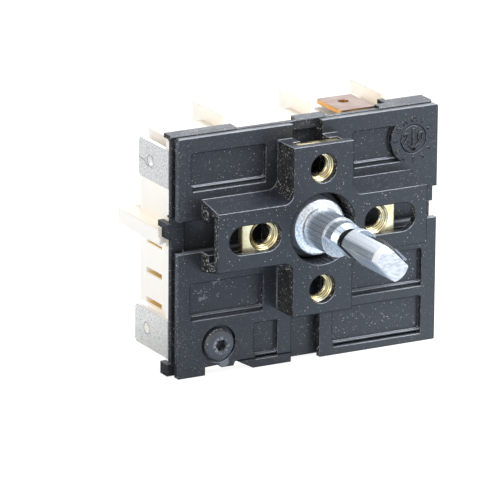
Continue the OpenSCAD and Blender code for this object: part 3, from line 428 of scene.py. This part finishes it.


# Tin plate, finely mottled and scratched, lighter on the lower tab, darker along its sheared edges
def tin_plate():
    cut_tone = (0.86, 0.85, 0.82)
    finish = Finish("tin_plate")
    mottle = finish.noise(3900, 3, rough=0.6)
    on_lower_tab = finish.ramp(finish.axes()[2], 4, -4)
    pale = finish.blend(on_lower_tab, (0.74, 0.665, 0.575), (0.86, 0.78, 0.67))
    deep = finish.blend(on_lower_tab, (0.47, 0.43, 0.38), (0.63, 0.57, 0.495))
    body = finish.blend(finish.ramp(mottle, 0.4, 0.62), pale, deep)
    body = finish.blend(finish.ramp(finish.noise(500, 3), 0.4, 0.7, 0.0, 0.4), body, (0.66, 0.61, 0.55))
    body = finish.blend(finish.times(finish.specks(2600, 0.12, 0.34), 0.45), body, (0.42, 0.41, 0.38))
    wander = finish.absolute(finish.minus(finish.noise(620, 4), 0.5))
    scratch = finish.times(finish.ramp(wander, 0.022, 0.008), finish.ramp(mottle, 0.45, 0.55, 0.1, 0.55))
    body = finish.blend(scratch, body, (0.3, 0.3, 0.28))
    ring = finish.most(hole_ring(finish, "left_top_terminal"), hole_ring(finish, "left_bottom_terminal"))
    body = finish.blend(finish.times(ring, 0.85), body, (0.2, 0.2, 0.19))
    cut = finish.ramp(finish.absolute(finish.facing()[0]), 0.7, 0.5)
    body = finish.blend(cut, body, cut_tone)
    rounded, edge = finish.soft_edges(0.1)
    finish.set("Base Color", finish.blend(finish.times(edge, 0.75), body, (0.25, 0.25, 0.27)))
    finish.set("Metallic", finish.ramp(cut, 0.0, 1.0, 1.0, 0.15))
    finish.set("Roughness", finish.ramp(mottle, 0.3, 0.7, 0.34, 0.5))
    # Sheared faces get a painted glow that lifts their shade, fading near the edges
    finish.set("Emission Color", (*cut_tone, 1.0))
    finish.set("Emission Strength", finish.times(cut, finish.ramp(edge, 0.1, 0.6, 1.0, 0.0), 0.16))
    finish.relief(mottle, 0.01, 0.4, rounded)
    return finish.material


# Bare copper, pink on its faces and orange on its sheared edges: partly the metal's own, partly painted
# reflection
def bare_copper():
    finish = Finish("bare_copper", metal=1.0)
    stained = finish.noise(420, 4)
    streaks = finish.noise(1, 2, where=finish.stretched((600, 600, 9000)))
    face = finish.blend(stained, (0.34, 0.235, 0.195), (0.4, 0.29, 0.25))
    cut = finish.blend(streaks, (0.5, 0.24, 0.08), (0.66, 0.42, 0.16))
    body = finish.blend(finish.ramp(finish.absolute(finish.facing()[2]), 0.6, 0.4), face, cut)
    corner = finish.soft_edges(0.12)[1]
    finish.set("Base Color", finish.blend(finish.times(corner, 0.7), body, (0.2, 0.09, 0.03)))
    finish.set("Roughness", finish.ramp(stained, 0.3, 0.7, 0.36, 0.5))
    finish.relief(finish.noise(2600, 4), 0.006, 0.4)
    return finish.material


# Machined brass, dulled in patches, with turned rings round each nut's bore
def machined_brass():
    ring_gap = 0.29
    first_ring = 1.75
    finish = Finish("machined_brass", metal=1.0)
    cloudy = finish.noise(900, 4)
    body = finish.blend(finish.ramp(cloudy, 0.35, 0.68), (0.92, 0.8, 0.5), (0.74, 0.615, 0.33))
    x, _, z = finish.axes()
    wide = finish.absolute(x)
    tall = finish.absolute(z)
    out = finish.length(finish.minus(finish.most(wide, tall), NUT_OFFSET), finish.math("MINIMUM", wide, tall))
    wave = finish.math("COSINE", finish.times(finish.minus(out, first_ring), 2 * math.pi / ring_gap))
    turned = finish.times(finish.ramp(wave, 0.35, 0.85), finish.ramp(out, 2.72, 2.68))
    finish.set("Base Color", finish.blend(turned, body, (0.16, 0.11, 0.04)))
    finish.set("Roughness", finish.ramp(cloudy, 0.3, 0.7, 0.2, 0.36))
    finish.relief(finish.noise(3800, 3), 0.006, 0.5, finish.soft_edges(0.05)[0])
    return finish.material


# Zinc along the shaft's length: facets of several tones with dark grooves, streaks and grain
def drawn_zinc(finish, streak):
    facets_per_radian = 11 / math.pi
    x, _, z = finish.axes()
    turn = finish.times(finish.math("ARCTAN2", z, x), facets_per_radian)
    sector = finish.math("FLOOR", turn)
    facet = finish.add("ShaderNodeTexWhiteNoise", {"W": sector}, noise_dimensions="1D").outputs["Value"]
    tone = finish.plus(finish.times(facet, 0.7), finish.times(streak, 0.3))
    body = finish.blend(tone, (0.46, 0.54, 0.63), (0.82, 0.91, 1.0))
    off_middle = finish.absolute(finish.minus(finish.math("FRACT", turn), 0.5))
    body = finish.blend(finish.ramp(off_middle, 0.4, 0.46, 0.0, 0.6), body, (0.1, 0.12, 0.14))
    grain = finish.ramp(finish.noise(5200, 3), 0.5, 0.62, 0.0, 0.5)
    return finish.blend(grain, body, (0.2, 0.23, 0.26))


# Zinc where it was faced: speckled, and darker on the stem's front
def faced_zinc(finish, speckle):
    y = finish.axes()[1]
    pale = finish.blend(speckle, (0.95, 0.96, 0.97), (0.54, 0.57, 0.59))
    dark = finish.blend(speckle, (0.52, 0.53, 0.53), (0.3, 0.31, 0.31))
    step = finish.times(finish.ramp(y, STEM_END + 0.4, STEM_END + 0.2),
                        finish.ramp(y, STEM_END - 0.6, STEM_END - 0.3))
    return finish.blend(step, pale, dark)


# Zinc-plated shaft: drawn along its length, faced on its collar and steps, dark in its neck, with painted
# highlights
def zinc_shaft():
    finish = Finish("zinc_shaft")
    y = finish.axes()[1]
    _, ny, nz = finish.facing()
    streak = finish.ramp(finish.noise(1, 3, where=finish.stretched((5600, 160, 5600))), 0.4, 0.6)
    speckle = finish.ramp(finish.noise(3000, 4, rough=0.7), 0.42, 0.6)
    top = finish.times(finish.ramp(nz, 0.45, 0.75), finish.ramp(y, NECK_END + 0.1, NECK_END - 0.1))
    faced = finish.ramp(ny, -0.6, -0.8)
    collar = finish.ramp(y, COLLAR_FACE + 0.4, COLLAR_FACE + 1.2)
    ledge = finish.times(faced, finish.ramp(y, LEDGE + 0.6, LEDGE + 0.2),
                         finish.ramp(y, LEDGE - 0.8, LEDGE - 0.2))
    tip = finish.ramp(y, TIP_START + 0.2, TIP_START - 0.05)
    neck = finish.times(finish.ramp(y, NECK_START + 0.1, NECK_START - 0.1),
                        finish.ramp(y, NECK_END - 0.05, NECK_END + 0.1), finish.ramp(ny, -0.7, -0.5))

    # Upper facets painted lighter, a painted highlight
    along = finish.blend(finish.times(top, 0.55), drawn_zinc(finish, streak), (0.86, 0.89, 0.93))
    body = finish.blend(finish.most(faced, collar), along, faced_zinc(finish, speckle))
    body = finish.blend(finish.times(ledge, 0.85), body, (0.22, 0.26, 0.32))
    swirl = finish.ramp(finish.noise(1, 3, where=finish.stretched((900, 900, 2600))), 0.42, 0.64)
    slope = finish.blend(swirl, (0.74, 0.735, 0.725), (0.56, 0.555, 0.55))
    body = finish.blend(tip, body, finish.blend(faced, (0.95, 0.95, 0.96), slope))
    rounded, edge = finish.soft_edges(0.14)
    # Edges painted near white, a painted highlight
    body = finish.blend(finish.times(edge, 0.7), body, (0.97, 0.98, 1.0))
    dirt = finish.ramp(finish.noise(2500, 3), 0.55, 0.7, 0.0, 0.5)
    dark = finish.blend(dirt, (0.012, 0.012, 0.012), (0.4, 0.42, 0.44))
    finish.set("Base Color", finish.blend(neck, body, dark))

    rough = finish.ramp(tip, 0.0, 1.0, finish.ramp(streak, 0.3, 0.7, 0.28, 0.33), 0.3)
    finish.set("Roughness", finish.plus(rough, finish.times(neck, 0.35)))
    finish.set("Metallic", finish.ramp(finish.most(tip, top), 0.0, 1.0, 0.85, 0.35))
    # A faint bluish painted glow on all but the neck and the tip
    finish.set("Emission Color", (0.5, 0.58, 0.7, 1.0))
    finish.set("Emission Strength", finish.ramp(finish.most(neck, tip), 0.0, 1.0, 0.08, 0.0))
    finish.relief(finish.times(speckle, collar, 0.4), 0.008, 0.4, rounded)
    return finish.material


# Distance in millimetres from a front-to-back axis through the middle of a node
def reach_from(finish, node):
    low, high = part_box(node)
    x, _, z = finish.axes()
    dx = finish.minus(x, (low.x + high.x) / 2 / MM)
    dz = finish.minus(z, (low.z + high.z) / 2 / MM)
    return finish.length(dx, dz)


# Blackened screw with turned rings, a torn bright ring round its recess, and painted shade inside the recess
def black_screw():
    recess = 0.95
    ring_gap = 0.34
    finish = Finish("black_screw", metal=0.05, rough=0.42)
    out = reach_from(finish, "plate_screw")
    body = finish.blend(finish.noise(900, 4), (0.046, 0.05, 0.057), (0.068, 0.073, 0.082))
    torn = finish.ramp(finish.noise(2600, 4), 0.4, 0.6)
    lip = finish.times(finish.ramp(out, recess - 0.1, recess + 0.05), finish.ramp(out, 1.7, 1.2), torn)
    body = finish.blend(lip, body, (0.27, 0.28, 0.3))
    # Painted shade inside the recess
    body = finish.blend(finish.ramp(out, recess, recess - 0.1), body, (0.028, 0.028, 0.029))
    wave = finish.math("SINE", finish.times(out, 2 * math.pi / ring_gap))
    rings = finish.times(finish.ramp(wave, 0.5, 1.0, 0.0, 0.35), finish.ramp(out, 1.4, 1.7))
    body = finish.blend(rings, body, (0.13, 0.135, 0.15))
    dust = finish.specks(3400, finish.ramp(out, 1.9, 2.4, 0.05, 0.5), 0.4)
    finish.set("Base Color", finish.blend(dust, body, (0.62, 0.57, 0.48)))
    finish.relief(finish.noise(3000, 4), 0.02, 0.5, finish.soft_edges(0.14)[0])
    return finish.material


# Rolled or drawn metal. A front value paints the part ahead of the shaft's neck darker by that gain: painted
# shade.
def rolled_metal(name, colour, rough, stretch=(300, 4000, 4000), front=None):
    finish = Finish(name, metal=1.0)
    lines = finish.noise(1, 3, where=finish.stretched(stretch))
    body = finish.blend(lines, toned(colour, 0.82), toned(colour, 1.12))
    if front:
        outside = finish.ramp(finish.axes()[1], NECK_END + 2, NECK_END + 1)
        body = finish.blend(outside, body, toned(colour, front))
    finish.set("Base Color", body)
    finish.set("Roughness", finish.ramp(lines, 0.3, 0.7, rough - 0.08, rough + 0.1))
    finish.relief(lines, 0.006, 0.5, finish.soft_edges(0.05)[0])
    return finish.material


# Dull moulded or fired material for the inner pieces
def dull_body(name, colour, rough, grain):
    finish = Finish(name, rough=rough)
    finish.set("Base Color", finish.blend(finish.noise(grain, 4), toned(colour, 0.88), toned(colour, 1.06)))
    finish.relief(finish.noise(grain * 8, 3), 0.01, 0.4, finish.soft_edges(0.08)[0])
    return finish.material


FINISHES = {
    "plate_plastic": Moulding("plate_moulding", PLATE_LOOK).material,
    "cover_plastic": Moulding("cover_moulding", COVER_LOOK).material,
    "base_plastic": cream_moulding(),
    "cam_plastic": dull_body("natural_moulding", (0.72, 0.68, 0.58), 0.5, 300),
    "brass": machined_brass(),
    "black_steel": black_screw(),
    "zinc_steel": zinc_shaft(),
    "spring_steel": rolled_metal("spring_strip", (0.74, 0.76, 0.79), 0.26, front=0.42),
    "tinned": tin_plate(),
    "copper": bare_copper(),
    "bronze": rolled_metal("bronze_strip", (0.68, 0.44, 0.2), 0.32),
    "silver": rolled_metal("silver_alloy", (0.82, 0.81, 0.78), 0.34, (3000, 3000, 3000)),
    "bimetal": rolled_metal("bimetal_strip", (0.5, 0.42, 0.32), 0.4),
    "ceramic": dull_body("fired_ceramic", (0.8, 0.77, 0.7), 0.7, 500),
}


def dress_nodes():
    for part in frame["record"]["subparts"]:
        for place in nodes[part["node"]].material_slots:
            place.material = FINISHES[part["material_slot"]]


# Modelling helpers
def start():
    if bpy.context.object and bpy.context.object.mode != "OBJECT":
        bpy.ops.object.mode_set(mode="OBJECT")
    bpy.ops.object.select_all(action="DESELECT")


def take(*pieces):
    start()
    for piece in pieces:
        piece.select_set(True)
    bpy.context.view_layer.objects.active = pieces[0]


def settle(piece):
    take(piece)
    bpy.ops.object.transform_apply(location=True, rotation=True, scale=True)


def place_at(piece, location, rotation):
    piece.rotation_euler = rotation
    piece.location = location
    settle(piece)


def box(name, low, high):
    start()
    middle = [(a + b) / 2 for a, b in zip(low, high)]
    bpy.ops.mesh.primitive_cube_add(size=1.0, location=middle)
    piece = bpy.context.object
    piece.name = name
    piece.scale = [b - a for a, b in zip(low, high)]
    settle(piece)
    return piece


def finish_with(piece, kind, **settings):
    take(piece)
    modifier = piece.modifiers.new(kind.lower(), kind)
    for key, value in settings.items():
        setattr(modifier, key, value)
    bpy.ops.object.modifier_apply(modifier=modifier.name)


def soften(piece, width, segments):
    finish_with(piece, "BEVEL", width=width, segments=segments, limit_method="ANGLE")


def cut_away(piece, cutter):
    finish_with(piece, "BOOLEAN", object=cutter, operation="DIFFERENCE", solver="EXACT")
    bpy.data.objects.remove(cutter)


def smooth(piece, degrees):
    take(piece)
    bpy.ops.object.shade_smooth_by_angle(angle=math.radians(degrees))


def joined(name, pieces):
    take(*pieces)
    bpy.ops.object.join()
    pieces[0].name = name
    return pieces[0]


def seat(piece, body, slot, *replaced):
    start()
    piece.data.materials.clear()
    piece.data.materials.append(FINISHES[slot])
    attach(piece, body)
    if replaced:
        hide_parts(*replaced)


# Square nut with a real M4 thread: a liner with a winding ridge and an open mouth stands in a wider bore
THREAD_MAJOR = 2.05 * MM
THREAD_CORE = 1.65 * MM
THREAD_PITCH = 0.7 * MM
MOUTH = 2.6 * MM
MOUTH_DEPTH = 0.4 * MM
MOUTH_SLOPE = 1.1
MOUTH_END_SLOPE = 6
BORE_LENGTH = 4 * MM
NUT_EDGE = 0.22 * MM
WELD = 0.001 * MM
AROUND = 96
ALONG = 40


def liner_radius(y, turn, low, high):
    phase = (y / THREAD_PITCH + turn) % 1.0
    thread = THREAD_CORE + (THREAD_MAJOR - THREAD_CORE) * abs(2 * phase - 1)
    beyond = max(0.0, y - low - MOUTH_DEPTH)
    front = MOUTH - min(y - low, MOUTH_DEPTH) * MOUTH_SLOPE - beyond * MOUTH_END_SLOPE
    back = MOUTH - (high - y) * MOUTH_END_SLOPE
    return max(thread, front, back)


def bored_nut(name, low, high):
    nut = box(name, low, high)
    soften(nut, NUT_EDGE, 3)
    start()
    bpy.ops.mesh.primitive_cylinder_add(vertices=AROUND, radius=MOUTH, depth=BORE_LENGTH,
                                        location=(low + high) / 2, rotation=(math.pi / 2, 0, 0))
    bore = bpy.context.object
    settle(bore)
    cut_away(nut, bore)
    return nut


def thread_liner(low, high):
    centre = (low + high) / 2
    start()
    bpy.ops.mesh.primitive_grid_add(x_subdivisions=AROUND, y_subdivisions=ALONG, size=1.0)
    liner = bpy.context.object
    for vertex in liner.data.vertices:
        turn = vertex.co.x + 0.5
        y = low.y + (vertex.co.y + 0.5) * (high.y - low.y)
        radius = liner_radius(y, turn, low.y, high.y)
        angle = -2 * math.pi * turn
        vertex.co = (centre.x + radius * math.sin(angle), y, centre.z + radius * math.cos(angle))
    take(liner)
    bpy.ops.object.mode_set(mode="EDIT")
    bpy.ops.mesh.select_all(action="SELECT")
    bpy.ops.mesh.remove_doubles(threshold=WELD)
    bpy.ops.object.mode_set(mode="OBJECT")
    return liner


def make_nuts():
    for node in ("nut_top", "nut_bottom", "nut_left", "nut_right"):
        low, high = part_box(node)
        nut = bored_nut(node + "_threaded", low, high)
        liner = thread_liner(low, high)
        smooth(nut, 30)
        smooth(liner, 40)
        seat(joined(nut.name, [nut, liner]), "housing", "brass", node)


# Fine ribs inside the hole round the shaft
RIB_COUNT = 48
RIB_SIDE = 0.12 * MM
RIB_FRONT = 0.12 * MM
RIB_BACK = 3.2 * MM
RIB_PROUD = 0.09 * MM
RIB_SUNK = 0.1 * MM
RIB_EDGE = 0.05 * MM
HOLE_RADIUS = 5.95 * MM


def make_bore_ribs():
    pieces = []
    for i in range(RIB_COUNT):
        rib = box("bore_rib", (-RIB_SIDE, RIB_FRONT, HOLE_RADIUS - RIB_PROUD),
                  (RIB_SIDE, RIB_BACK, HOLE_RADIUS + RIB_SUNK))
        soften(rib, RIB_EDGE, 2)
        place_at(rib, (0, 0, 0), (0, 2 * math.pi * i / RIB_COUNT, 0))
        pieces.append(rib)
    seat(joined("bore_ribs", pieces), "housing", "plate_plastic")


# Date disc: an arrow, two digits and a ring of month numbers, raised a little
DISC = Vector((19.5 * MM, PLATE_FACE * MM, 11 * MM))
RAISED = 0.2 * MM
MONTH_RAISED = 0.08 * MM
MONTH_RING = 3.3 * MM
MONTH_TALL = 1.15 * MM
DIGIT_TALL = 2.5 * MM
DIGIT_ASIDE = 1.3 * MM
DIGIT_UP = 0.15 * MM
SIGN_SWELL = 0.03 * MM
SIGN_EDGE = 0.01 * MM
BARB_TURN = math.radians(42)


def raised_sign(text, x, z, tall, turn=0.0, proud=RAISED):
    start()
    bpy.ops.object.text_add(location=(0, 0, 0))
    sign = bpy.context.object
    sign.data.body = text
    sign.data.size = tall
    sign.data.align_x = "CENTER"
    sign.data.align_y = "CENTER"
    sign.data.extrude = proud
    sign.data.offset = SIGN_SWELL
    sign.data.resolution_u = 4
    sign.data.bevel_depth = SIGN_EDGE
    take(sign)
    bpy.ops.object.convert(target="MESH")
    sign = bpy.context.object
    place_at(sign, DISC + Vector((x, 0, z)), (math.pi / 2, turn, 0))
    return sign


def raised_bar(x, z, wide, tall, turn=0.0):
    bar = box("disc_bar", (-wide / 2, -RAISED, -tall / 2), (wide / 2, RAISED, tall / 2))
    place_at(bar, DISC + Vector((x, 0, z)), (0, turn, 0))
    return bar


def make_date_disc():
    pieces = [raised_bar(x=0, z=0.1 * MM, wide=0.5 * MM, tall=3.5 * MM)]
    for side in (-1, 1):
        pieces.append(raised_bar(x=side * 0.5 * MM, z=-1.25 * MM, wide=0.42 * MM, tall=1.5 * MM,
                                 turn=side * BARB_TURN))
    for side, digit in ((-1, "2"), (1, "0")):
        pieces.append(raised_sign(digit, side * DIGIT_ASIDE, DIGIT_UP, DIGIT_TALL))
    for month in range(1, 13):
        turn = math.radians(30 * month)
        x = MONTH_RING * math.sin(turn)
        z = MONTH_RING * math.cos(turn)
        pieces.append(raised_sign(str(month), x, z, MONTH_TALL, turn, MONTH_RAISED))
    seat(joined("date_marks", pieces), "housing", "plate_plastic")


# Hairline crease in the upper left tab, from its hole to its rear edge. Points are Y and Z in millimetres.
CREASE_POINTS = [(14.9, 9.7), (15.6, 9.75), (16.4, 10.35), (18.2, 10.5)]
CREASE_OUT = 0.015 * MM
CREASE_IN = 0.03 * MM
CREASE_SIDE = 0.05 * MM


def make_tab_crease():
    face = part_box("left_top_terminal")[0].x
    pieces = []
    for (y0, z0), (y1, z1) in zip(CREASE_POINTS, CREASE_POINTS[1:]):
        half = math.hypot(y1 - y0, z1 - z0) * MM / 2
        part = box("crease", (-CREASE_OUT, -half, -CREASE_SIDE), (CREASE_IN, half, CREASE_SIDE))
        middle = (face, (y0 + y1) / 2 * MM, (z0 + z1) / 2 * MM)
        place_at(part, middle, (math.atan2(z1 - z0, y1 - y0), 0, 0))
        pieces.append(part)
    # The dark finish stands for the shade in the crease: painted shade
    seat(joined("tab_crease", pieces), "housing", "black_steel")


# Studio: a camera at the photograph's angle, a white floor and soft lamps
VIEW_AZIMUTH = math.radians(-28.83)
VIEW_HEIGHT = math.radians(16.94)
VIEW_ROLL = math.radians(-0.50)
VIEW_DISTANCE = 0.929
PICTURE = 500
FOCAL_PIXELS = 5841.0
# Pixel at which the frame's origin is seen
ORIGIN_U = 323.4
ORIGIN_V = 228.35
SHIFT_PIXELS = 0.6
FILM_WIDTH = 36.0
FLOOR_SIZE = 6.0
FLOOR_GAP = 0.02 * MM


def make_camera():
    level = math.cos(VIEW_HEIGHT)
    towards = Vector((math.sin(VIEW_AZIMUTH) * level, -math.cos(VIEW_AZIMUTH) * level, math.sin(VIEW_HEIGHT)))
    right = Vector((math.cos(VIEW_AZIMUTH), math.sin(VIEW_AZIMUTH), 0))
    up = right.cross(-towards)
    turned_right = right * math.cos(VIEW_ROLL) - up * math.sin(VIEW_ROLL)
    turned_up = right * math.sin(VIEW_ROLL) + up * math.cos(VIEW_ROLL)
    per_pixel = VIEW_DISTANCE / FOCAL_PIXELS
    across = turned_right * ((ORIGIN_U - PICTURE / 2) * per_pixel)
    above = turned_up * ((PICTURE / 2 - ORIGIN_V) * per_pixel)
    place = towards * VIEW_DISTANCE - across - above
    turn = Matrix((turned_right, turned_up, towards)).transposed().to_4x4()
    camera = bpy.data.objects.new("camera", bpy.data.cameras.new("camera"))
    bpy.context.scene.collection.objects.link(camera)
    camera.matrix_world = Matrix.Translation(place) @ turn
    camera.data.sensor_width = FILM_WIDTH
    camera.data.lens = FILM_WIDTH * FOCAL_PIXELS / PICTURE
    camera.data.shift_y = SHIFT_PIXELS / PICTURE
    camera.data.clip_start = 0.05
    bpy.context.scene.camera = camera


# Dim light on the switch, and a bright backdrop to the eye and in its reflections
def make_world():
    world = bpy.data.worlds.new("studio")
    bpy.context.scene.world = world
    world.use_nodes = True
    graph = Graph(world.node_tree)
    light = graph.tree.nodes["Background"]
    graph.join((0.95, 0.97, 1.0, 1.0), light.inputs["Color"])
    graph.join(0.42, light.inputs["Strength"])
    backdrop = graph.add("ShaderNodeBackground", {"Strength": 1.0})
    path = graph.add("ShaderNodeLightPath")
    seen = graph.most(path.outputs["Is Camera Ray"], path.outputs["Is Glossy Ray"])
    mix = graph.add("ShaderNodeMixShader", {0: seen, 1: light.outputs[0], 2: backdrop.outputs[0]})
    graph.join(mix.outputs[0], graph.tree.nodes["World Output"].inputs["Surface"])


# Dull surface with a glow of its own
def glowing(graph, dull_colour, glow_colour, strength):
    dull = graph.add("ShaderNodeBsdfDiffuse", {"Color": dull_colour})
    glow = graph.add("ShaderNodeEmission", {"Color": glow_colour, "Strength": strength})
    return graph.add("ShaderNodeAddShader", {0: dull.outputs[0], 1: glow.outputs[0]}).outputs[0]


# The floor looks white, and throws more light on the switch from behind it than from before it
def floor_material():
    material = bpy.data.materials.new("white_floor")
    material.use_nodes = True
    graph = Graph(material.node_tree)
    graph.tree.nodes.clear()
    x, y, _ = graph.parts_of(graph.add("ShaderNodeTexCoord").outputs["Object"])
    slant = graph.plus(graph.times(y, 0.8), x)
    bounce = graph.ramp(slant, -38 * MM, 25 * MM, 0.0, 0.85)
    lit = glowing(graph, (0.56, 0.63, 0.74, 1.0), (0.85, 0.93, 1.0, 1.0), bounce)
    seen = glowing(graph, (0.2, 0.2, 0.2, 1.0), (1.0, 1.0, 1.0, 1.0), 0.9)
    path = graph.add("ShaderNodeLightPath")
    mix = graph.add("ShaderNodeMixShader", {0: path.outputs["Is Camera Ray"], 1: lit, 2: seen})
    graph.add("ShaderNodeOutputMaterial", {"Surface": mix.outputs[0]})
    return material


def make_floor():
    start()
    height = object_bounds()[0][2] - FLOOR_GAP
    bpy.ops.mesh.primitive_plane_add(size=FLOOR_SIZE, location=(0, 0, height))
    floor = bpy.context.object
    floor.name = "floor"
    settle(floor)
    floor.data.materials.append(floor_material())


def soft_lamp(name, place, target, size, power, colour):
    lamp = bpy.data.lights.new(name, "AREA")
    lamp.shape = "RECTANGLE"
    lamp.size, lamp.size_y = size
    lamp.energy = power
    lamp.color = colour
    holder = bpy.data.objects.new(name, lamp)
    bpy.context.scene.collection.objects.link(holder)
    holder.location = place
    holder.rotation_euler = (Vector(target) - Vector(place)).to_track_quat("-Z", "Y").to_euler()


# Each lamp's place, target, size, power in watts and colour
def make_lamps():
    soft_lamp("key", (0.276, -0.174, 0.504), (0, 0, 0), (0.42, 0.42), 5.5, (0.9, 0.95, 1.0))
    soft_lamp("behind", (0.37, 0.67, 0.23), (0, 0, 0), (0.5, 0.4), 0.85, (0.88, 0.94, 1.0))
    soft_lamp("front_right", (0.14, -0.17, 0.10), (0.01, 0, 0), (0.12, 0.12), 0.08, (0.88, 0.95, 1.0))
    soft_lamp("left", (-0.5, -0.2, 0.2), (-0.02, 0.01, 0), (0.35, 0.35), 1.35, (1.0, 0.965, 0.92))


dress_nodes()
make_nuts()
make_bore_ribs()
make_date_disc()
make_tab_crease()
make_camera()
make_world()
make_floor()
make_lamps()
bpy.context.scene.view_settings.view_transform = "Standard"
